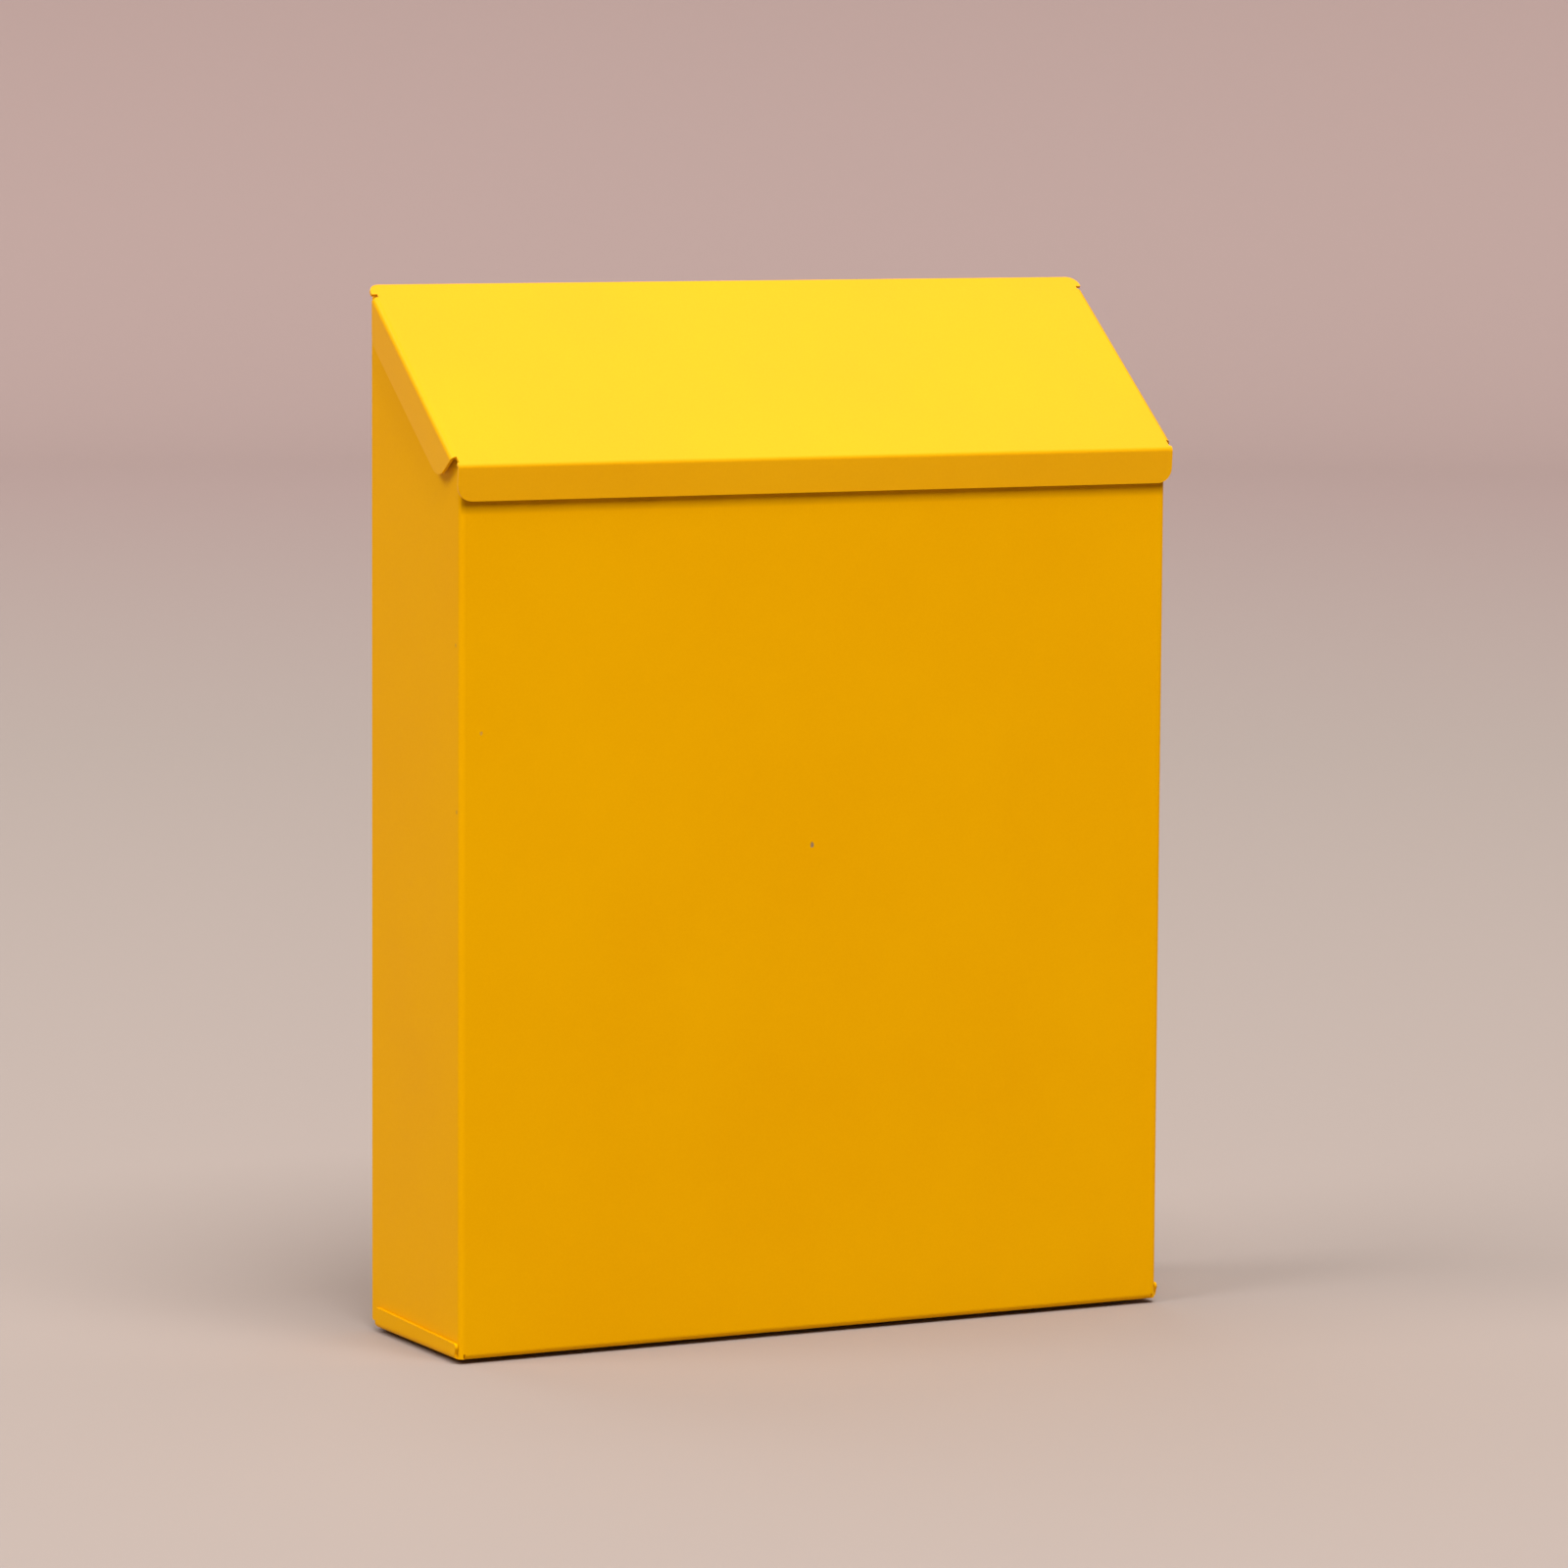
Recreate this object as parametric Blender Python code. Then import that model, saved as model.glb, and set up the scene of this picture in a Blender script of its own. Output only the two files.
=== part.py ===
"""A vertical wall letter box of folded sheet steel, with a sloping lid hinged along its back edge.

Metres, +Z up. The front faces -Y, the wall is at +Y, and the origin is in the middle of the base.
"""

import math

import bmesh
import bpy
from mathutils import Matrix, Vector

# Sheet and clearances
SHEET = 0.0010              # thickness of every sheet
BEND_RADIUS = 0.0020        # outer radius of an ordinary bend
SEAT_GAP = 0.0003           # between pieces that touch
FOLD_GAP = 0.0001           # between parts of one sheet that lie against each other
BEND_STEPS = 6
CORNER_STEPS = 6

# Box
BOX_WIDTH = 0.2700          # across the side panels
BOX_DEPTH = 0.0740          # front panel to back plane
HEM_TOP = 0.2991            # top of the front panel's folded hem
HEM_DEPTH = 0.0090
HEM_END = 0.0006            # each end of the hem stops short of the vertical bend
CORNER_FOOT = 0.0004        # bottom end of the vertical front bends
RETURN_DEPTH = 0.0100       # flanges turned in along the back edges
RETURN_END = 0.0005
RETURN_CORNER = 0.0030
BASE_FLANGE_TOP = 0.0055    # flanges turned up outside the side panels, at their front
BASE_FLANGE_RISE = 0.0018   # they are this much higher at their rear
BASE_FLANGE_EAR = 0.0014    # and reach this far in front of their bends
BASE_FLANGE_REAR = 0.0307
BASE_FLANGE_CORNER = 0.0013
BASE_REAR_EDGE = 0.0360
REAR_FLANGE_HALF = 0.1200
REAR_FLANGE_DEPTH = 0.0100
REAR_FLANGE_RELIEF = 0.0010
SIDE_NOTCH = 0.0025         # notch behind the hem, at the top of each side panel
DRAIN_RADIUS = 0.0025
DRAIN_X = 0.0900
DRAIN_Y = 0.0200

# Lid
LID_SLOPE = math.radians(38.5)
LID_CREASE_Z = 0.3005       # virtual corner between the lid's plate and its lip
LID_SIDE_GAP = 0.0018       # side flange to side panel
LID_REAR_Y = 0.0330
LIP_HEIGHT = 0.0120
LIP_OVERBEND = math.radians(4)      # the lip leans in, so that its edge meets the front panel
LIP_CORNER = 0.0052
LIP_END = 0.0012            # each end of the lip is this far inside the side flanges
LIP_EAR = 0.0005            # strip of the plate beside the lip's bend
LID_FLANGE_DEPTH = 0.0130
LID_FLANGE_CORNER = 0.0072
LID_FLANGE_LEAN = 0.0032    # the front edge of a side flange runs back by this much
LID_REAR_MARGIN = 0.0050    # flat strip of the plate behind the side flanges
LID_REAR_CORNER = 0.0040
LID_REAR_RELIEF = 0.0015    # slit behind each side bend
LID_FRONT_RELIEF = 0.0030   # notch in front of each side bend
LID_EDGE_GAP = 0.0016       # lid plate to the side panels' sloping edges

# Hinge
KNUCKLE_RADIUS = 0.0021
LEAF_THICKNESS = 0.0009
PIN_RADIUS = 0.0009
PIN_HEAD_RADIUS = 0.0016
PIN_HEAD = 0.0010
HINGE_HALF = 0.1215
KNUCKLES = 19
KNUCKLE_GAP = 0.0003
KNUCKLE_RELIEF = 0.0026     # the leaf is cut back this far from the axis beside the other leaf's knuckles
ROLL_SWEEP = math.radians(285)
ROLL_STEPS = 14
LEAF_DEPTH = 0.0200
AXIS_Y = BOX_DEPTH / 2 - KNUCKLE_RADIUS

# Back panel
PANEL_SIDE_GAP = 0.0008
PANEL_FOOT = 0.0018
PAD_X = 0.0900
PAD_LOW_Z = 0.0500
PAD_HIGH_Z = 0.3000
PAD_BASE_RADIUS = 0.0130
PAD_FACE_RADIUS = 0.0080
PAD_STEPS = 32
WALL_HOLE_RADIUS = 0.00275

# Rivets
RIVET_COUNT = 6
RIVET_PITCH = 0.0400
RIVET_DROP = 0.0120         # rivet line below the hinge axis
RIVET_RADIUS = 0.0016
RIVET_HOLE_RADIUS = 0.0019
RIVET_HEAD_RADIUS = 0.0030
RIVET_HEAD = 0.0009
RIVET_HEAD_PROFILE = ((0, 1), (0.6, 0.85), (1, 0.5))    # fractions of the head's height and radius
RIVET_BULB_RADIUS = 0.0023
RIVET_BULB = 0.0024
RIVET_BULB_TAPER = 0.4      # fraction of the bulb that narrows to its end
TURNED_STEPS = 20
HOLE_STEPS = 16

# Values that follow from the ones above
HALF_WIDTH = BOX_WIDTH / 2
HALF_DEPTH = BOX_DEPTH / 2
BEND_X = HALF_WIDTH - BEND_RADIUS
BEND_Y = HALF_DEPTH - BEND_RADIUS
HEM_RADIUS = SHEET + SEAT_GAP / 2
FRONT_TOP = HEM_TOP - HEM_RADIUS
LID_CREASE_Y = -(HALF_DEPTH + SEAT_GAP + SHEET + LIP_HEIGHT * math.sin(LIP_OVERBEND))
LID_HALF = HALF_WIDTH + LID_SIDE_GAP + SHEET
LID_BEND_X = LID_HALF - BEND_RADIUS
LID_LENGTH = (LID_REAR_Y - LID_CREASE_Y) / math.cos(LID_SLOPE)
LIP_ANGLE = math.pi / 2 - LID_SLOPE + LIP_OVERBEND
LIP_TANGENT = BEND_RADIUS * math.tan(LIP_ANGLE / 2)
LID_NOSE_Y = LID_CREASE_Y + LIP_TANGENT * math.cos(LID_SLOPE) - BEND_RADIUS * (1 - math.sin(LID_SLOPE))
STAND_OFF_Y = -LID_NOSE_Y
LID_REAR_Z = LID_CREASE_Z + LID_LENGTH * math.sin(LID_SLOPE)
AXIS_DEPTH = SHEET + SEAT_GAP + KNUCKLE_RADIUS
AXIS_ALONG = (LID_REAR_Y - AXIS_Y + AXIS_DEPTH * math.sin(LID_SLOPE)) / math.cos(LID_SLOPE)
AXIS_Z = LID_REAR_Z - AXIS_ALONG * math.sin(LID_SLOPE) - AXIS_DEPTH * math.cos(LID_SLOPE)
PANEL_OUTER_Y = HALF_DEPTH - SHEET - SEAT_GAP
PANEL_TOP = AXIS_Z - KNUCKLE_RADIUS - SEAT_GAP
RETURN_TOP = PANEL_TOP - SEAT_GAP
LEAF_INNER_Y = AXIS_Y + KNUCKLE_RADIUS - LEAF_THICKNESS
RIVET_Z = AXIS_Z - RIVET_DROP

X = Vector((1, 0, 0))
Y = Vector((0, 1, 0))
Z = Vector((0, 0, 1))
FORWARD = Vector((0, -math.cos(LID_SLOPE), -math.sin(LID_SLOPE)))    # down the lid, to its front
LID_NORMAL = Vector((0, -math.sin(LID_SLOPE), math.cos(LID_SLOPE)))
AXIS = Vector((0, AXIS_Y, AXIS_Z))


def material(name, colour, roughness, metallic):
    """A plain Principled BSDF."""
    made = bpy.data.materials.new(name)
    made.use_nodes = True
    shader = made.node_tree.nodes["Principled BSDF"]
    shader.inputs["Base Color"].default_value = (*colour, 1)
    shader.inputs["Roughness"].default_value = roughness
    shader.inputs["Metallic"].default_value = metallic
    return made


def add_object(name, mesh, finish, parent=None):
    """Turns a bmesh into a named object. A mesh that has a parent is measured from the hinge axis."""
    data = bpy.data.meshes.new(name)
    mesh.to_mesh(data)
    mesh.free()
    if finish:
        data.materials.append(finish)
    made = bpy.data.objects.new(name, data)
    bpy.context.scene.collection.objects.link(made)
    made.parent = parent
    return made


def thicken(sheet):
    """Gives a folded skin its thickness, on the inside."""
    solidify = sheet.modifiers.new("sheet_thickness", "SOLIDIFY")
    solidify.thickness = SHEET
    solidify.offset = -1
    solidify.use_even_offset = True


def combine(target, mesh, label, operation="DIFFERENCE"):
    """Cuts closed shapes out of an object, or joins them to it."""
    shapes = add_object(f"{target.name}_{label}", mesh, None, target.parent)
    shapes.hide_render = True
    shapes.display_type = "WIRE"
    boolean = target.modifiers.new(label, "BOOLEAN")
    boolean.operation = operation
    boolean.solver = "EXACT"
    boolean.object = shapes


def smooth(thing, angle=math.radians(35)):
    """Shades the rounded stretches smooth and leaves the real edges sharp."""
    thing.data.shade_smooth()
    thing.data.set_sharp_from_angle(angle=angle)


def rounded(corner, towards_previous, towards_next, radius):
    """Arc points that replace a corner of an outline."""
    half_angle = towards_previous.angle(towards_next) / 2
    centre = corner + (towards_previous + towards_next).normalized() * radius / math.sin(half_angle)
    reach = radius / math.tan(half_angle)
    first = (corner + towards_previous * reach - centre).normalized()
    last = (corner + towards_next * reach - centre).normalized()
    return [centre + first.slerp(last, step / CORNER_STEPS) * radius for step in range(CORNER_STEPS + 1)]


class FoldedSkin:
    """The outer skin of one folded sheet: flat panels, and bends that turn inwards."""

    def __init__(self):
        self.mesh = bmesh.new()

    def panel(self, points, outward):
        face = self.mesh.faces.new([self.mesh.verts.new(point) for point in points])
        face.normal_update()
        if face.normal.dot(outward) < 0:
            face.normal_flip()

    def fold(self, start, end, away, outward, angle=math.pi / 2, radius=BEND_RADIUS, skip=0):
        """Bends along the line start-end, and returns the far edge with its own directions.

        away lies in the panel and points off it. The first skip steps of the bend are left open.
        """
        axis = outward.cross(away)
        rings = []
        for step in range(BEND_STEPS + 1):
            turn = Matrix.Rotation(angle * step / BEND_STEPS, 3, axis)
            lift = (turn @ outward - outward) * radius
            rings.append((start + lift, end + lift, turn @ outward))
        for near, far in zip(rings[skip:-1], rings[skip + 1:]):
            self.panel((near[0], near[1], far[1], far[0]), near[2] + far[2])
        turn = Matrix.Rotation(angle, 3, axis)
        return rings[-1][0], rings[-1][1], turn @ away, turn @ outward

    def tab(self, start, end, away, outward, depth, corner=0.0, shift=(0.0, 0.0), rise=0.0):
        """A flat flange with its two free corners rounded.

        shift moves its free corners at the start and the end along the flange, and rise makes it
        deeper at its end.
        """
        along = (end - start).normalized()
        far_start = start + away * depth + along * shift[0]
        far_end = end + away * (depth + rise) + along * shift[1]
        outline = [start, end, far_end, far_start]
        if corner:
            back = (far_start - far_end).normalized()
            outline[2:] = [
                *rounded(far_end, (end - far_end).normalized(), back, corner),
                *rounded(far_start, -back, (start - far_start).normalized(), corner),
            ]
        self.panel(outline, outward)

    def finish(self, origin=Vector()):
        """Joins the panels along their shared edges."""
        bmesh.ops.remove_doubles(self.mesh, verts=self.mesh.verts, dist=1e-6)
        bmesh.ops.translate(self.mesh, verts=self.mesh.verts, vec=-origin)
        return self.mesh


def add_cylinder(mesh, centre, direction, radius, length, steps, end_radius=None):
    """A closed cylinder or cone frustum that starts at centre and runs along direction."""
    turn = Z.rotation_difference(direction).to_matrix().to_4x4()
    place = Matrix.Translation(centre + direction * length / 2) @ turn
    bmesh.ops.create_cone(
        mesh,
        cap_ends=True,
        segments=steps,
        radius1=radius,
        radius2=radius if end_radius is None else end_radius,
        depth=length,
        matrix=place,
    )


def add_box(mesh, low, high):
    """A closed box between two corners."""
    size = high - low
    place = Matrix.Translation((low + high) / 2) @ Matrix.Diagonal((*size, 1))
    bmesh.ops.create_cube(mesh, size=1, matrix=place)


def turned(profile, base, direction):
    """A solid of revolution. profile lists (distance along direction, radius), and its ends have radius 0."""
    mesh = bmesh.new()
    turn = Z.rotation_difference(direction).to_matrix()
    points = [mesh.verts.new(base + turn @ Vector((radius, 0, along))) for along, radius in profile]
    edges = [mesh.edges.new(pair) for pair in zip(points, points[1:])]
    bmesh.ops.spin(
        mesh,
        geom=points + edges,
        cent=base,
        axis=direction,
        angle=2 * math.pi,
        steps=TURNED_STEPS,
        use_merge=True,
    )
    bmesh.ops.remove_doubles(mesh, verts=mesh.verts, dist=1e-6)
    bmesh.ops.recalc_face_normals(mesh, faces=mesh.faces)
    return mesh


def lid_point(x, along, depth=0.0):
    """A point of the lid: across, down the slope from the rear edge, and below the outer face."""
    return Vector((x, LID_REAR_Y, LID_REAR_Z)) + FORWARD * along - LID_NORMAL * depth


def lid_surface_z(y):
    """Height of the lid's outer face above a point of the base."""
    return LID_CREASE_Z + (y - LID_CREASE_Y) * math.tan(LID_SLOPE)


def build_side(skin, hand):
    """One side panel with its front and rear bends and its rear return flange. hand is -1 or 1."""
    outward = X * hand
    corner = Vector((hand * BEND_X, -HALF_DEPTH, 0))
    foot = corner + Z * CORNER_FOOT
    low = corner + Z * BEND_RADIUS
    skin.fold(foot, low, outward, -Y, skip=1)
    skin.fold(low, corner + Z * FRONT_TOP, outward, -Y)

    def at(y, z):
        return Vector((hand * HALF_WIDTH, y, z))

    def slope_z(y):
        return lid_surface_z(y) - (SHEET + LID_EDGE_GAP) / math.cos(LID_SLOPE)

    rear_low = at(BEND_Y, BEND_RADIUS + RETURN_END)
    rear_high = at(BEND_Y, RETURN_TOP)
    notch_y = SIDE_NOTCH - BEND_Y
    outline = [at(-BEND_Y, BEND_RADIUS), at(BEND_Y, BEND_RADIUS), rear_low, rear_high]
    outline += [at(BEND_Y, slope_z(BEND_Y)), at(notch_y, slope_z(notch_y)), at(-BEND_Y, FRONT_TOP)]
    skin.panel(outline, outward)
    skin.tab(*skin.fold(rear_low, rear_high, Y, outward), RETURN_DEPTH, RETURN_CORNER)


def build_base(skin):
    """The base with its bend from the front panel, its outer side flanges and its rear flange."""
    skin.fold(Vector((-BEND_X, -HALF_DEPTH, BEND_RADIUS)), Vector((BEND_X, -HALF_DEPTH, BEND_RADIUS)), -Z, -Y)
    flange_x = HALF_WIDTH + FOLD_GAP + SHEET - BEND_RADIUS
    half_outline = [
        Vector((BEND_X, -BEND_Y, 0)),
        Vector((flange_x, -BEND_Y, 0)),
        Vector((flange_x, BASE_FLANGE_REAR, 0)),
        Vector((BEND_X, BASE_FLANGE_REAR, 0)),
        Vector((BEND_X, BASE_REAR_EDGE, 0)),
        Vector((REAR_FLANGE_HALF + REAR_FLANGE_RELIEF, BASE_REAR_EDGE, 0)),
        Vector((REAR_FLANGE_HALF + REAR_FLANGE_RELIEF, BEND_Y, 0)),
        Vector((REAR_FLANGE_HALF, BEND_Y, 0)),
    ]
    other_half = [Vector((-point.x, point.y, 0)) for point in reversed(half_outline)]
    skin.panel(half_outline + other_half, -Z)
    for hand in (-1, 1):
        start = Vector((hand * flange_x, -BEND_Y, 0))
        end = Vector((hand * flange_x, BASE_FLANGE_REAR, 0))
        flange = skin.fold(start, end, X * hand, -Z)
        depth = BASE_FLANGE_TOP - BEND_RADIUS
        skin.tab(*flange, depth, BASE_FLANGE_CORNER, (-BASE_FLANGE_EAR, 0), BASE_FLANGE_RISE)
    start = Vector((-REAR_FLANGE_HALF, BEND_Y, 0))
    end = Vector((REAR_FLANGE_HALF, BEND_Y, 0))
    skin.tab(*skin.fold(start, end, Y, -Z), REAR_FLANGE_DEPTH, RETURN_CORNER)


def build_box_shell(paint):
    """Front, sides and base, folded from one sheet."""
    skin = FoldedSkin()
    hem_left = Vector((HEM_END - BEND_X, -HALF_DEPTH, FRONT_TOP))
    hem_right = Vector((BEND_X - HEM_END, -HALF_DEPTH, FRONT_TOP))
    low_left = Vector((-BEND_X, -HALF_DEPTH, BEND_RADIUS))
    low_right = Vector((BEND_X, -HALF_DEPTH, BEND_RADIUS))
    high_left = Vector((-BEND_X, -HALF_DEPTH, FRONT_TOP))
    high_right = Vector((BEND_X, -HALF_DEPTH, FRONT_TOP))
    skin.panel((low_left, low_right, high_right, hem_right, hem_left, high_left), -Y)
    skin.tab(*skin.fold(hem_left, hem_right, Z, -Y, math.pi, HEM_RADIUS), HEM_DEPTH)
    for hand in (-1, 1):
        build_side(skin, hand)
    build_base(skin)
    shell = add_object("box_shell", skin.finish(), paint)
    thicken(shell)

    drains = bmesh.new()
    for x in (-DRAIN_X, DRAIN_X):
        for y in (-DRAIN_Y, DRAIN_Y):
            add_cylinder(drains, Vector((x, y, -SHEET)), Z, DRAIN_RADIUS, 3 * SHEET, HOLE_STEPS)
    combine(shell, drains, "drains")
    smooth(shell)


def rivet_places():
    """Distances along X of the rivets that hold the hinge."""
    return [(index - (RIVET_COUNT - 1) / 2) * RIVET_PITCH for index in range(RIVET_COUNT)]


def build_back_panel(paint):
    """The flat back, with four pressed pads that hold the box off the wall and take its screws."""
    pad_places = [Vector((x, 0, z)) for x in (-PAD_X, PAD_X) for z in (PAD_LOW_Z, PAD_HIGH_Z)]
    half = HALF_WIDTH - SHEET - PANEL_SIDE_GAP
    inner_y = PANEL_OUTER_Y - SHEET
    sheet = bmesh.new()
    add_box(sheet, Vector((-half, inner_y, PANEL_FOOT)), Vector((half, PANEL_OUTER_Y, PANEL_TOP)))
    panel = add_object("back_panel", sheet, paint)

    middle_y = PANEL_OUTER_Y - SHEET / 2
    pads = bmesh.new()
    for place in pad_places:
        start = place + Y * middle_y
        depth = STAND_OFF_Y - middle_y
        add_cylinder(pads, start, Y, PAD_BASE_RADIUS, depth, PAD_STEPS, PAD_FACE_RADIUS)
    combine(panel, pads, "pads", "UNION")

    hollows = bmesh.new()
    taper = (PAD_BASE_RADIUS - PAD_FACE_RADIUS) / (STAND_OFF_Y - middle_y)
    for place in pad_places:
        start = place + Y * (inner_y - SHEET)
        depth = STAND_OFF_Y - SHEET - start.y
        face = PAD_FACE_RADIUS - SHEET / 2
        add_cylinder(hollows, start, Y, face + taper * depth, depth, PAD_STEPS, face)
    combine(panel, hollows, "pad_hollows")

    holes = bmesh.new()
    for place in pad_places:
        add_cylinder(holes, place + Y * (STAND_OFF_Y - 2 * SHEET), Y, WALL_HOLE_RADIUS, 3 * SHEET, HOLE_STEPS)
    for x in rivet_places():
        start = Vector((x, inner_y - SHEET, RIVET_Z))
        add_cylinder(holes, start, Y, RIVET_HOLE_RADIUS, 3 * SHEET, HOLE_STEPS)
    combine(panel, holes, "holes")
    smooth(panel)


def build_lid(paint, hinge):
    """The lid: a sloping plate with a front lip and two side flanges, folded from one sheet."""
    skin = FoldedSkin()
    front = LID_LENGTH - LIP_TANGENT
    lip_half = LID_HALF - LIP_END
    lip_start = front - LIP_EAR
    flange_end = lip_start - LID_FRONT_RELIEF
    flange_start = LID_REAR_MARGIN + LID_REAR_RELIEF
    right = [
        *rounded(lid_point(LID_HALF, 0), -X, FORWARD, LID_REAR_CORNER),
        lid_point(LID_HALF, LID_REAR_MARGIN),
        lid_point(LID_BEND_X, LID_REAR_MARGIN),
        lid_point(LID_BEND_X, flange_start),
        lid_point(LID_BEND_X, flange_end),
        lid_point(LID_BEND_X, lip_start),
        lid_point(lip_half, lip_start),
        lid_point(lip_half, front),
    ]
    left = [Vector((-point.x, point.y, point.z)) for point in reversed(right)]
    skin.panel(right + left, LID_NORMAL)
    lip = skin.fold(lid_point(-lip_half, front), lid_point(lip_half, front), FORWARD, LID_NORMAL, LIP_ANGLE)
    skin.tab(*lip, LIP_HEIGHT - LIP_TANGENT, LIP_CORNER)
    for hand in (-1, 1):
        start = lid_point(hand * LID_BEND_X, flange_start)
        end = lid_point(hand * LID_BEND_X, flange_end)
        flange = skin.fold(start, end, X * hand, LID_NORMAL)
        depth = LID_FLANGE_DEPTH - BEND_RADIUS
        # The rear edge is upright when the lid is shut.
        skin.tab(*flange, depth, LID_FLANGE_CORNER, (depth * math.tan(LID_SLOPE), -LID_FLANGE_LEAN))
    lid = add_object("lid", skin.finish(AXIS), paint, hinge)
    thicken(lid)
    smooth(lid)


def leaf_mesh(down, outward, origin):
    """A hinge leaf along X with its edge rolled round the axis.

    down runs off the axis along the leaf, and outward is the leaf's outer side.
    """
    inner = KNUCKLE_RADIUS - LEAF_THICKNESS
    turns = [math.pi / 2 + ROLL_SWEEP * step / ROLL_STEPS for step in range(ROLL_STEPS + 1)]
    outline = [(LEAF_DEPTH, KNUCKLE_RADIUS)]
    outline += [(KNUCKLE_RADIUS * math.cos(turn), KNUCKLE_RADIUS * math.sin(turn)) for turn in turns]
    outline += [(inner * math.cos(turn), inner * math.sin(turn)) for turn in reversed(turns)]
    outline += [(LEAF_DEPTH, inner)]
    mesh = bmesh.new()
    start = AXIS - origin - X * HINGE_HALF
    end_face = mesh.faces.new([mesh.verts.new(start + down * u + outward * v) for u, v in outline])
    run = bmesh.ops.extrude_face_region(mesh, geom=[end_face])
    moved = [item for item in run["geom"] if isinstance(item, bmesh.types.BMVert)]
    bmesh.ops.translate(mesh, verts=moved, vec=X * 2 * HINGE_HALF)
    bmesh.ops.recalc_face_normals(mesh, faces=mesh.faces)
    return mesh


def knuckle_cuts(down, outward, first, origin):
    """Closed shapes that clear every second knuckle, from the one numbered first."""
    mesh = bmesh.new()
    pitch = 2 * HINGE_HALF / KNUCKLES
    reach = KNUCKLE_RADIUS + SHEET
    frame = Matrix((X, down, outward)).transposed().to_4x4()
    for index in range(first, KNUCKLES, 2):
        low_x = -HINGE_HALF + index * pitch - KNUCKLE_GAP / 2
        high_x = -HINGE_HALF + (index + 1) * pitch + KNUCKLE_GAP / 2
        if index == 0:
            low_x -= SHEET
        if index == KNUCKLES - 1:
            high_x += SHEET
        add_box(mesh, Vector((low_x, -reach, -reach)), Vector((high_x, KNUCKLE_RELIEF, reach)))
    bmesh.ops.transform(mesh, matrix=Matrix.Translation(AXIS - origin) @ frame, verts=mesh.verts)
    bmesh.ops.recalc_face_normals(mesh, faces=mesh.faces)
    return mesh


def build_hinge(paint, hinge):
    """A continuous hinge: the box's leaf, the lid's leaf and the pin through both."""
    box_leaf = add_object("hinge_box_leaf", leaf_mesh(-Z, Y, Vector()), paint)
    cuts = knuckle_cuts(-Z, Y, 1, Vector())
    for x in rivet_places():
        start = Vector((x, LEAF_INNER_Y - SHEET, RIVET_Z))
        add_cylinder(cuts, start, Y, RIVET_HOLE_RADIUS, 3 * SHEET, HOLE_STEPS)
    combine(box_leaf, cuts, "cuts")
    smooth(box_leaf)

    lid_leaf = add_object("hinge_lid_leaf", leaf_mesh(FORWARD, LID_NORMAL, AXIS), paint, hinge)
    combine(lid_leaf, knuckle_cuts(FORWARD, LID_NORMAL, 0, AXIS), "cuts")
    smooth(lid_leaf)

    head = HINGE_HALF + SEAT_GAP
    profile = [
        (-head - PIN_HEAD, 0),
        (-head - PIN_HEAD, PIN_RADIUS),
        (-head - PIN_HEAD / 2, PIN_HEAD_RADIUS),
        (-head, PIN_HEAD_RADIUS),
        (-head, PIN_RADIUS),
        (head, PIN_RADIUS),
        (head, PIN_HEAD_RADIUS),
        (head + PIN_HEAD / 2, PIN_HEAD_RADIUS),
        (head + PIN_HEAD, PIN_RADIUS),
        (head + PIN_HEAD, 0),
    ]
    pin = add_object("hinge_pin", turned(profile, AXIS, X), paint)
    smooth(pin)


def build_rivets(metal):
    """Blind rivets through the box's leaf and the back panel, with their heads towards the wall."""
    head_seat = HALF_DEPTH + SEAT_GAP
    bulb_seat = PANEL_OUTER_Y - SHEET - SEAT_GAP
    profile = [
        (bulb_seat - RIVET_BULB, 0),
        (bulb_seat - RIVET_BULB, RIVET_RADIUS),
        (bulb_seat - RIVET_BULB * (1 - RIVET_BULB_TAPER), RIVET_BULB_RADIUS),
        (bulb_seat, RIVET_BULB_RADIUS),
        (bulb_seat, RIVET_RADIUS),
        (head_seat, RIVET_RADIUS),
    ]
    profile += [(head_seat + RIVET_HEAD * up, RIVET_HEAD_RADIUS * out) for up, out in RIVET_HEAD_PROFILE]
    profile.append((head_seat + RIVET_HEAD, 0))
    for number, x in enumerate(rivet_places(), 1):
        rivet = add_object(f"hinge_rivet_{number}", turned(profile, Vector((x, 0, RIVET_Z)), Y), metal)
        smooth(rivet)


def main():
    for thing in list(bpy.data.objects):
        bpy.data.objects.remove(thing)
    paint = material("yellow_powder_coat", (0.83, 0.40, 0.004), 0.42, 0.0)
    rivet_metal = material("rivet_aluminium", (0.72, 0.73, 0.74), 0.35, 1.0)

    hinge = bpy.data.objects.new("lid_hinge_axis", None)
    hinge.location = AXIS
    bpy.context.scene.collection.objects.link(hinge)

    build_box_shell(paint)
    build_back_panel(paint)
    build_lid(paint, hinge)
    build_hinge(paint, hinge)
    build_rivets(rivet_metal)


main()
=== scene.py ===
"""Looks and studio for a wall letter box of folded sheet steel with a yellow powder coat.

Metres, +Z up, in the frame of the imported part: the front faces -Y and the origin is in the middle
of the base.
"""

import math

import bmesh
import bpy
from mathutils import Matrix, Vector

# Camera
CAMERA_PLACE = (-1.07813, -2.10072, 0.43671)
CAMERA_YAW = math.radians(27.278)
CAMERA_PITCH = math.radians(6.082)
CAMERA_ROLL = math.radians(0.3387)
CAMERA_LENS = 157.5
SENSOR = 36.0

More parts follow.
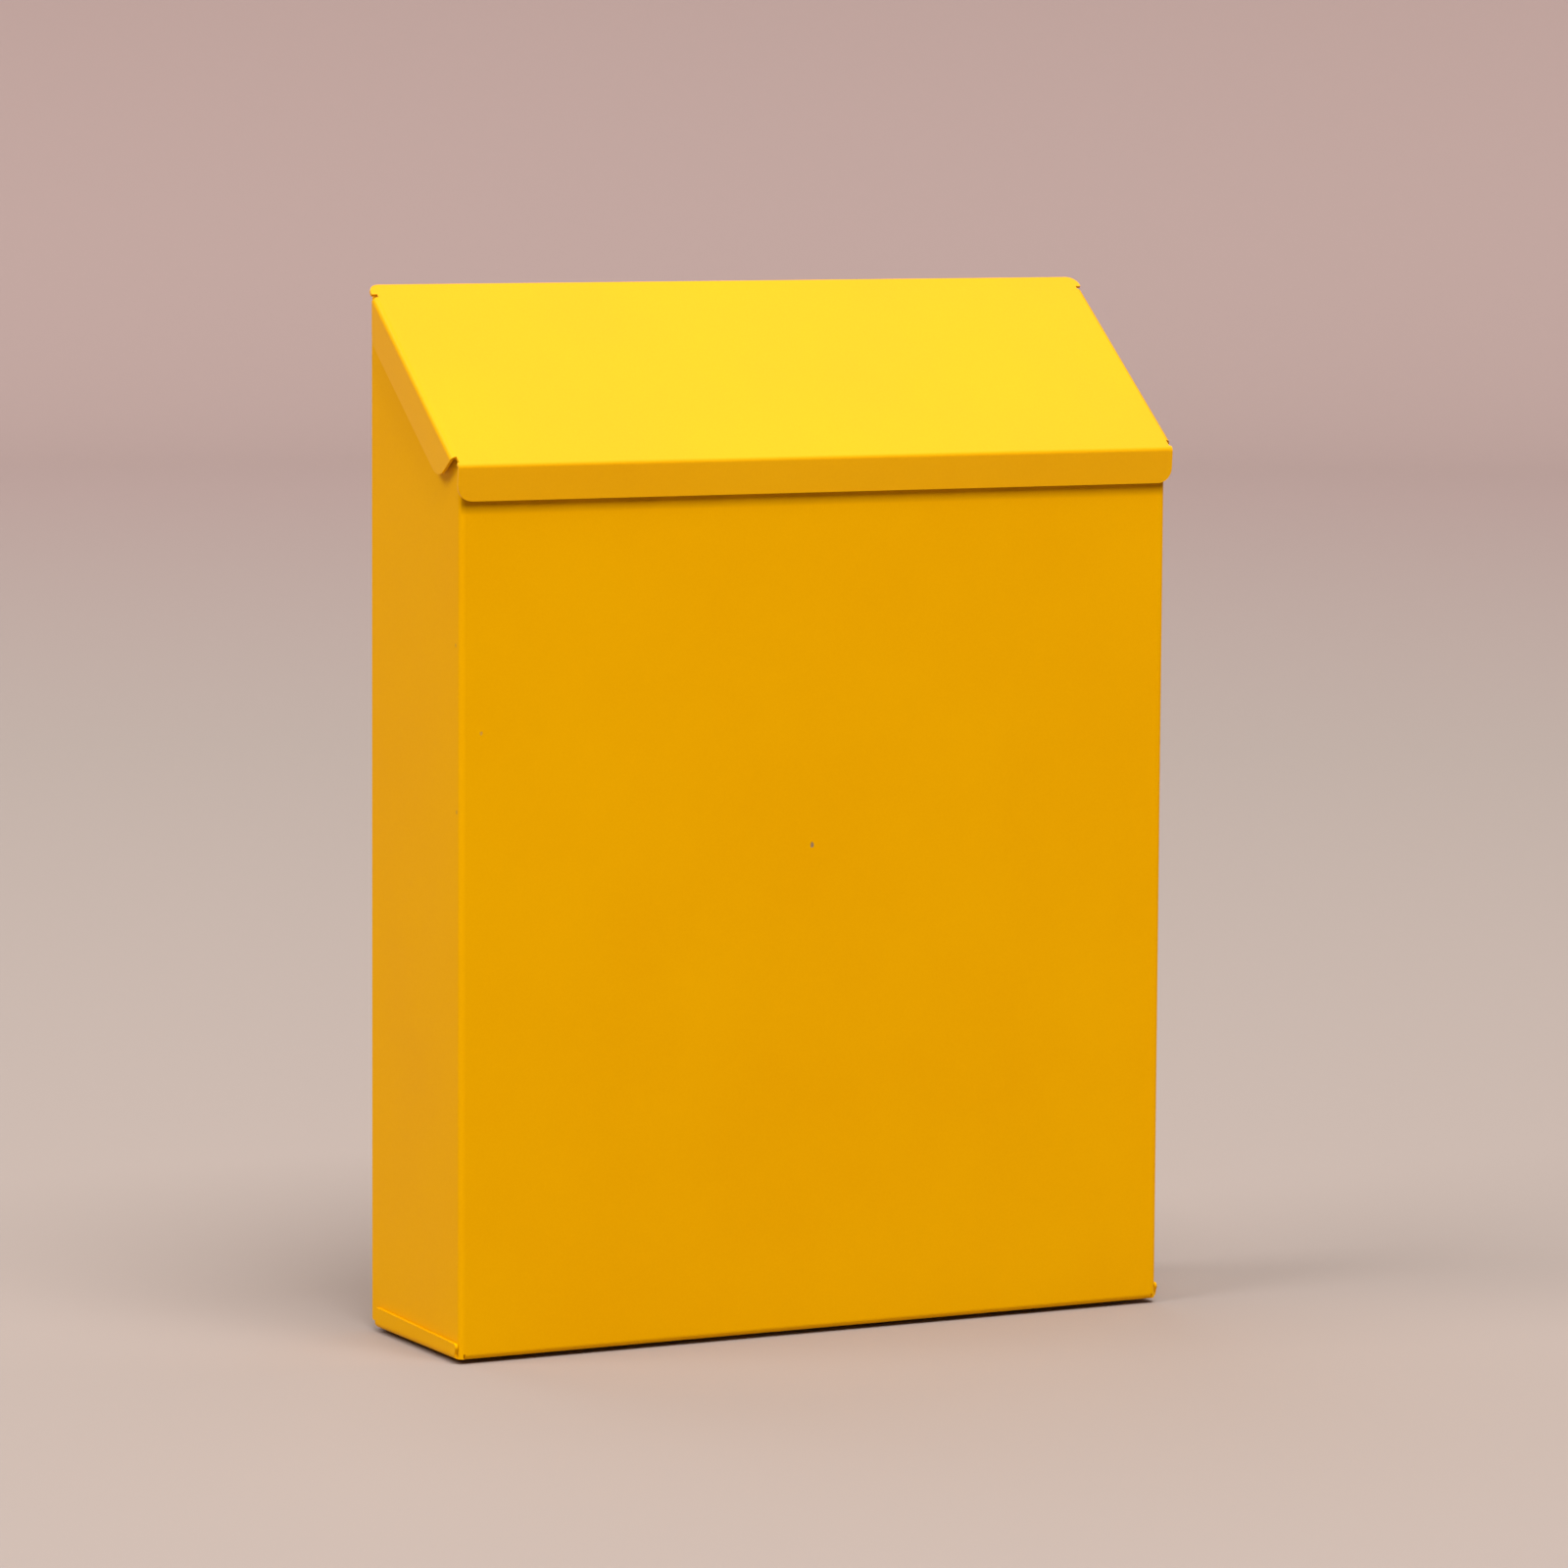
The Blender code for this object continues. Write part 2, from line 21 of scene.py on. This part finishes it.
# Studio
FLOOR_RADIUS = 5.0
FLOOR_RISE = 1.0
FLOOR_RIM = 1.4
FLOOR_SEGMENTS = 96
FLOOR_CURVE_STEPS = 12
MERGE_DISTANCE = 0.00001
FLOOR_DROP = 0.0015         # the base stands this far above the floor
FLOOR_COLOUR = (0.335, 0.272, 0.243)
FLOOR_ROUGHNESS = 0.85
BACKDROP_COLOUR = (0.385, 0.28, 0.26)
BACKDROP_START = 2.0        # the floor turns into the backdrop between these radii
BACKDROP_FULL = 4.5
WORLD_COLOUR = (1.0, 0.985, 0.97)
WORLD_STRENGTH = 0.11
LIGHT_DISTANCE = 9.0
LIGHT_SIZE = 5.2
LIGHT_TARGET = (0.0, 0.0, 0.18)
LIGHT_COLOUR = (1.0, 0.99, 0.975)
SOFTBOXES = (       # name, degrees from the front towards the left, degrees up, watts
    ("softbox_high", 0, 62.5, 935),
    ("softbox_left", 90, 50, 565),
    ("softbox_sheen", -108, 61, 115),
    ("softbox_back", 180, 55, 215),
)

# Pieces of painted sheet
SHEET_PIECES = ("box_shell", "lid", "back_panel", "hinge_box_leaf", "hinge_lid_leaf")
PAINTED_EDGE = 0.00012      # width of the rounding
PAINTED_EDGE_STEPS = 2
EDGE_ANGLE = math.radians(35)       # only edges sharper than this are rounded

# Noise textures: each one is a scale and a number of octaves
CLOUD_NOISE = (16, 3)
GRAIN_NOISE = (1300, 1)
WAVE_NOISE = (11, 1)
PEEL_NOISE = (620, 2)
# the next one varies the darkness of the painted shadow under the lid's lip
PAINTED_SHADOW_NOISE = (60, 3)
CHIP_NOISE = (1500, 3)
TARNISH_NOISE = (900, 3)
ALLOY_NOISE = (2600, 2)
NOISE_SPREAD = (0.3, 0.7)   # most noise values lie between these

# Paint
YELLOW_DEEP = (0.815, 0.386, 0.0)
YELLOW_LIGHT = (0.845, 0.42, 0.0)
YELLOW_GLOSS = (1.0, 0.86, 0.32)
CLOUD_SHARE = 0.6           # of the tone; the fine grain has the rest
COAT_ROUGHNESS = (0.38, 0.44)
WAVE_HEIGHT = 0.0003
PEEL_HEIGHT = 0.000016
BOX_GLOSS = 0.03
LID_GLOSS = 0.26            # the lid shines more than the box
PRIMER = (0.24, 0.18, 0.12)
CHIPS = (           # place and radii in metres, and how much of the paint is gone
    ((-0.0030, -0.0370, 0.1679), (0.0006, 0.0012, 0.0009), 0.85),
    ((-0.1273, -0.0370, 0.2111), (0.0005, 0.0012, 0.0006), 0.35),
    ((-0.1350, -0.0332, 0.2405), (0.0012, 0.0006, 0.0007), 0.3),
    ((-0.1350, -0.0341, 0.1848), (0.0012, 0.0006, 0.0006), 0.3),
)
CHIP_RAGGED = 0.35          # how far the outline strays, as a share of the radius
CHIP_EDGE = 0.25            # how far the outline is blurred, likewise
CHIP_DEPTH = 0.00006
CHIP_DULLNESS = 0.3
# Painted shadow: a dark line on the front panel under the lid's lip, with its colour, strength,
# heights and reach in Y
PAINTED_SHADOW_COLOUR = (0.22, 0.075, 0.0)
PAINTED_SHADOW_AMOUNT = (0.48, 0.6)
PAINTED_SHADOW_LOW = (0.2840, 0.2873)        # the line grows stronger between these heights,
PAINTED_SHADOW_HIGH = (0.2895, 0.2905)       # ends between these,
PAINTED_SHADOW_FRONT = (-0.0367, -0.0360)    # and stays on the front: it ends between these in Y

# Rivets
ALLOY_BRIGHT = (0.76, 0.77, 0.78)
ALLOY_DULL = (0.55, 0.56, 0.57)
ALLOY_ROUGHNESS = (0.28, 0.5)
ALLOY_HEIGHT = 0.000012

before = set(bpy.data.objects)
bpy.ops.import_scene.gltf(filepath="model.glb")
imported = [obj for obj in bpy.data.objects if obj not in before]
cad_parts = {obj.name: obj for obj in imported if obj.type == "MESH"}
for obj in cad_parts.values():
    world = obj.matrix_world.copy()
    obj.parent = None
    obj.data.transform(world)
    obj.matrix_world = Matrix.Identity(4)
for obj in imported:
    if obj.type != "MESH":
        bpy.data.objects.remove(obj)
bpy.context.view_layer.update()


class Graph:
    """A material's node tree, built by name."""

    def __init__(self, name):
        self.material = bpy.data.materials.new(name)
        self.material.use_nodes = True
        self.tree = self.material.node_tree
        self.shader = self.tree.nodes["Principled BSDF"]
        self.place = self.node("ShaderNodeTexCoord").outputs["Object"]

    def node(self, kind, inputs=None, **settings):
        """A new node, with its inputs fed by name and its settings set by name."""
        made = self.tree.nodes.new(kind)
        for key, value in settings.items():
            setattr(made, key, value)
        for key, value in (inputs or {}).items():
            self.feed(made.inputs[key], value)
        return made

    def feed(self, socket, value):
        """Gives a socket a value: another socket's output, or a plain number or colour."""
        if isinstance(value, bpy.types.NodeSocket):
            self.tree.links.new(value, socket)
        else:
            socket.default_value = value

    def noise(self, scale, detail):
        inputs = {"Vector": self.place, "Scale": scale, "Detail": detail}
        return self.node("ShaderNodeTexNoise", inputs).outputs["Fac"]

    def ranged(self, value, low, high, to_low, to_high):
        """Carries low to high over to to_low to to_high, and stays within those."""
        inputs = {"Value": value, "From Min": low, "From Max": high}
        inputs.update({"To Min": to_low, "To Max": to_high})
        return self.node("ShaderNodeMapRange", inputs).outputs["Result"]

    def patches(self, scale, detail, low, high):
        """Noise spread over a whole range of values."""
        return self.ranged(self.noise(scale, detail), *NOISE_SPREAD, low, high)

    def maths(self, operation, first, second):
        made = self.node("ShaderNodeMath", operation=operation)
        self.feed(made.inputs[0], first)
        self.feed(made.inputs[1], second)
        return made.outputs[0]

    def mixed(self, factor, first, second):
        made = self.node("ShaderNodeMix", data_type="RGBA")
        self.feed(made.inputs["Factor"], factor)
        self.feed(made.inputs["A"], first)
        self.feed(made.inputs["B"], second)
        return made.outputs["Result"]

    def blob(self, centre, radii, ragged):
        """1 inside an ellipsoid with a ragged edge, and 0 outside it."""
        away = self.node("ShaderNodeVectorMath", operation="SUBTRACT")
        self.feed(away.inputs[0], self.place)
        self.feed(away.inputs[1], centre)
        shape = self.node("ShaderNodeVectorMath", operation="DIVIDE")
        self.feed(shape.inputs[0], away.outputs[0])
        self.feed(shape.inputs[1], radii)
        distance = self.node("ShaderNodeVectorMath", operation="LENGTH")
        self.feed(distance.inputs[0], shape.outputs[0])
        reach = self.maths("ADD", distance.outputs["Value"], ragged)
        return self.ranged(reach, 1 - CHIP_EDGE, 1 + CHIP_EDGE, 1.0, 0.0)

    def bump(self, height, distance, below=None):
        """The normal of a relief, on top of the relief whose normal is below."""
        inputs = {"Height": height, "Distance": distance, "Strength": 1.0}
        if below is not None:
            inputs["Normal"] = below
        return self.node("ShaderNodeBump", inputs).outputs["Normal"]


def rgba(colour):
    return (*colour, 1.0)


def powder_coat(name, gloss, wear_and_shadow=None):
    """Satin polyester powder coat: cloudy thickness, fine orange peel and slightly wavy sheet."""
    graph = Graph(name)
    shader = graph.shader
    clouds = graph.patches(*CLOUD_NOISE, 0.0, 1.0)
    cloud_tone = graph.maths("MULTIPLY", clouds, CLOUD_SHARE)
    grain_tone = graph.patches(*GRAIN_NOISE, 0.0, 1 - CLOUD_SHARE)
    tone = graph.maths("ADD", cloud_tone, grain_tone)
    colour = graph.mixed(tone, rgba(YELLOW_DEEP), rgba(YELLOW_LIGHT))
    roughness = graph.ranged(clouds, 0, 1, *COAT_ROUGHNESS)
    wave = graph.bump(graph.noise(*WAVE_NOISE), WAVE_HEIGHT)
    normal = graph.bump(graph.noise(*PEEL_NOISE), PEEL_HEIGHT, wave)
    # marks laid on top: on the box, chips and a painted shadow under the lid's lip
    if wear_and_shadow:
        colour, roughness, normal = wear_and_shadow(graph, colour, roughness, normal)
    graph.feed(shader.inputs["Base Color"], colour)
    graph.feed(shader.inputs["Roughness"], roughness)
    graph.feed(shader.inputs["Normal"], normal)
    shader.inputs["Specular IOR Level"].default_value = gloss
    shader.inputs["Specular Tint"].default_value = rgba(YELLOW_GLOSS)
    return graph.material


def box_wear_and_painted_shadow(graph, colour, roughness, normal):
    """A painted shadow line under the lid's lip, and a few chips down to the primer."""
    # painted shadow: a dark line on the front panel just under the lid's lip, broken up by noise
    place = graph.node("ShaderNodeSeparateXYZ", {"Vector": graph.place})
    painted_shadow = graph.maths(
        "MULTIPLY",
        graph.ranged(place.outputs["Z"], *PAINTED_SHADOW_LOW, 0.0, 1.0),
        graph.ranged(place.outputs["Z"], *PAINTED_SHADOW_HIGH, 1.0, 0.0),
    )
    painted_shadow = graph.maths("MULTIPLY", painted_shadow, graph.ranged(place.outputs["Y"], *PAINTED_SHADOW_FRONT, 1.0, 0.0))
    painted_shadow = graph.maths("MULTIPLY", painted_shadow, graph.patches(*PAINTED_SHADOW_NOISE, *PAINTED_SHADOW_AMOUNT))
    colour = graph.mixed(painted_shadow, colour, rgba(PAINTED_SHADOW_COLOUR))

    ragged = graph.patches(*CHIP_NOISE, -CHIP_RAGGED, CHIP_RAGGED)
    bare = 0.0
    for centre, radii, strength in CHIPS:
        chip = graph.maths("MULTIPLY", graph.blob(centre, radii, ragged), strength)
        bare = graph.maths("MAXIMUM", bare, chip)
    colour = graph.mixed(bare, colour, rgba(PRIMER))
    roughness = graph.maths("ADD", roughness, graph.maths("MULTIPLY", bare, CHIP_DULLNESS))
    return colour, roughness, graph.bump(graph.maths("SUBTRACT", 1.0, bare), CHIP_DEPTH, normal)


def bare_aluminium():
    """Dull rivet aluminium."""
    graph = Graph("rivet_alloy")
    shader = graph.shader
    tarnish = graph.patches(*TARNISH_NOISE, 0.0, 1.0)
    colour = graph.mixed(tarnish, rgba(ALLOY_BRIGHT), rgba(ALLOY_DULL))
    graph.feed(shader.inputs["Base Color"], colour)
    graph.feed(shader.inputs["Roughness"], graph.ranged(tarnish, 0, 1, *ALLOY_ROUGHNESS))
    graph.feed(shader.inputs["Normal"], graph.bump(graph.noise(*ALLOY_NOISE), ALLOY_HEIGHT))
    shader.inputs["Metallic"].default_value = 1.0
    return graph.material


def soften_edges(thing):
    """Rounds the cut edges of a sheet, as the paint does."""
    bevel = thing.modifiers.new("paint_on_edges", "BEVEL")
    bevel.width = PAINTED_EDGE
    bevel.segments = PAINTED_EDGE_STEPS
    bevel.limit_method = "ANGLE"
    bevel.angle_limit = EDGE_ANGLE
    bevel.harden_normals = True


def floor_finish():
    """A matt surface whose colour changes slowly from the floor's to the backdrop's."""
    graph = Graph("studio_floor")
    radius = graph.node("ShaderNodeVectorMath", operation="LENGTH")
    graph.feed(radius.inputs[0], graph.place)
    outside = graph.ranged(radius.outputs["Value"], BACKDROP_START, BACKDROP_FULL, 0.0, 1.0)
    colour = graph.mixed(outside, rgba(FLOOR_COLOUR), rgba(BACKDROP_COLOUR))
    graph.feed(graph.shader.inputs["Base Color"], colour)
    graph.shader.inputs["Roughness"].default_value = FLOOR_ROUGHNESS
    return graph.material


def floor():
    """A pale floor that curves up all round, far from the box."""
    profile = [(0.0, 0.0), (FLOOR_RADIUS, 0.0)]
    for step in range(1, FLOOR_CURVE_STEPS + 1):
        turn = math.pi / 2 * step / FLOOR_CURVE_STEPS
        radius = FLOOR_RADIUS + FLOOR_RISE * math.sin(turn)
        height = FLOOR_RISE * (1 - math.cos(turn))
        profile.append((radius, height))
    profile.append((FLOOR_RADIUS + FLOOR_RISE, FLOOR_RIM))
    mesh = bmesh.new()
    points = [mesh.verts.new((radius, 0, height)) for radius, height in profile]
    edges = [mesh.edges.new(pair) for pair in zip(points, points[1:])]
    bmesh.ops.spin(
        mesh,
        geom=points + edges,
        cent=(0, 0, 0),
        axis=(0, 0, 1),
        angle=2 * math.pi,
        steps=FLOOR_SEGMENTS,
        use_merge=True,
    )
    bmesh.ops.remove_doubles(mesh, verts=mesh.verts, dist=MERGE_DISTANCE)
    data = bpy.data.meshes.new("studio_floor")
    mesh.to_mesh(data)
    mesh.free()
    data.shade_smooth()
    data.materials.append(floor_finish())
    made = bpy.data.objects.new("studio_floor", data)
    made.location.z = -FLOOR_DROP
    bpy.context.scene.collection.objects.link(made)


def softbox(name, azimuth, elevation, watts):
    """A square soft light, aimed at the box. The angles are in degrees."""
    data = bpy.data.lights.new(name, "AREA")
    data.size = LIGHT_SIZE
    data.energy = watts
    data.color = LIGHT_COLOUR
    azimuth = math.radians(azimuth)
    elevation = math.radians(elevation)
    towards = Vector((
        -math.sin(azimuth) * math.cos(elevation),
        -math.cos(azimuth) * math.cos(elevation),
        math.sin(elevation),
    ))
    made = bpy.data.objects.new(name, data)
    made.location = Vector(LIGHT_TARGET) + towards * LIGHT_DISTANCE
    made.rotation_euler = (-towards).to_track_quat("-Z", "Y").to_euler()
    bpy.context.scene.collection.objects.link(made)


def studio():
    """The floor, the soft lights and a faint even light from all round."""
    floor()
    for row in SOFTBOXES:
        softbox(*row)
    world = bpy.data.worlds.new("studio_air")
    world.use_nodes = True
    background = world.node_tree.nodes["Background"]
    background.inputs["Color"].default_value = rgba(WORLD_COLOUR)
    background.inputs["Strength"].default_value = WORLD_STRENGTH
    bpy.context.scene.world = world
    bpy.context.scene.view_settings.view_transform = "Standard"


def camera():
    """The camera looks at the front and the left side, from a little above."""
    forward = Vector((
        math.sin(CAMERA_YAW) * math.cos(CAMERA_PITCH),
        math.cos(CAMERA_YAW) * math.cos(CAMERA_PITCH),
        -math.sin(CAMERA_PITCH),
    ))
    right = Vector((math.cos(CAMERA_YAW), -math.sin(CAMERA_YAW), 0))
    turn = Matrix((right, right.cross(forward), -forward)).transposed().to_4x4()
    data = bpy.data.cameras.new("camera")
    data.lens = CAMERA_LENS
    data.sensor_width = SENSOR
    made = bpy.data.objects.new("camera", data)
    made.matrix_world = Matrix.Translation(CAMERA_PLACE) @ turn @ Matrix.Rotation(CAMERA_ROLL, 4, "Z")
    bpy.context.scene.collection.objects.link(made)
    bpy.context.scene.camera = made


def main():
    """Puts the camera and the studio in place, and gives every node of the part its finish."""
    camera()
    studio()
    coats = {
        "lid": powder_coat("powder_coat_yellow_lid", LID_GLOSS),
        # the box's coat has chips and a painted shadow under the lid's lip
        "box_shell": powder_coat("powder_coat_yellow_worn_painted_shadow", BOX_GLOSS, box_wear_and_painted_shadow),
    }
    plain_coat = powder_coat("powder_coat_yellow", BOX_GLOSS)
    alloy = bare_aluminium()
    for name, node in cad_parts.items():
        finish = alloy if name.startswith("hinge_rivet") else coats.get(name, plain_coat)
        node.material_slots[0].material = finish
        if name in SHEET_PIECES:
            soften_edges(node)


main()
